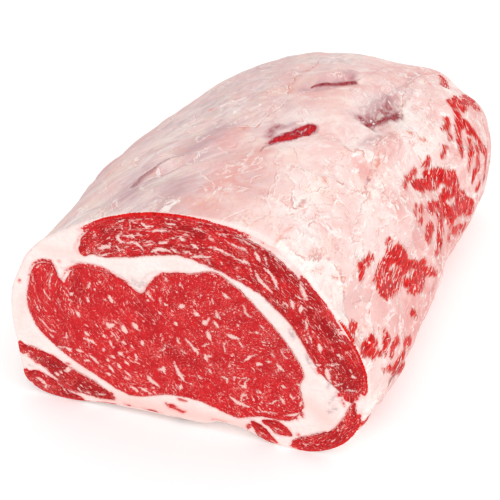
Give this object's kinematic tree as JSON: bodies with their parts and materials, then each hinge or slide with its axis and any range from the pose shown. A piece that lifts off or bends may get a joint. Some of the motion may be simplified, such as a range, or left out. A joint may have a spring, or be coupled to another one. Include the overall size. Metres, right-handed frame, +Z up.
{
  "type": "raw beef rib roast",
  "caption": "Raw boneless beef rib roast with a thick fat cover, cut across at both ends so that its lean muscles show; it rests on its flat underside.",
  "frame": {"origin": "middle of the footprint of the flat underside, on the surface that the roast rests on", "axes": "+X to the right across the front cut face, +Y from the front cut face to the back one, +Z up"},
  "size_m": [0.2079, 0.2856, 0.1294],
  "materials": {
    "fat": "moist firm fat and membrane, satin",
    "eye_lean": "moist bright red lean with fine pale marbling",
    "cap_lean": "moist dark red lean with long pale streaks",
    "strap_lean": "moist dark red lean, sparsely streaked"
  },
  "bodies": {
    "root": {"fat_cover": "fat", "eye_muscle": "eye_lean", "cap_muscle": "cap_lean", "tail_muscle": "cap_lean", "back_strap_upper": "strap_lean", "back_strap_lower": "strap_lean", "rib_finger_inner": "strap_lean", "rib_finger_outer": "strap_lean"}
  },
  "joints": []
}
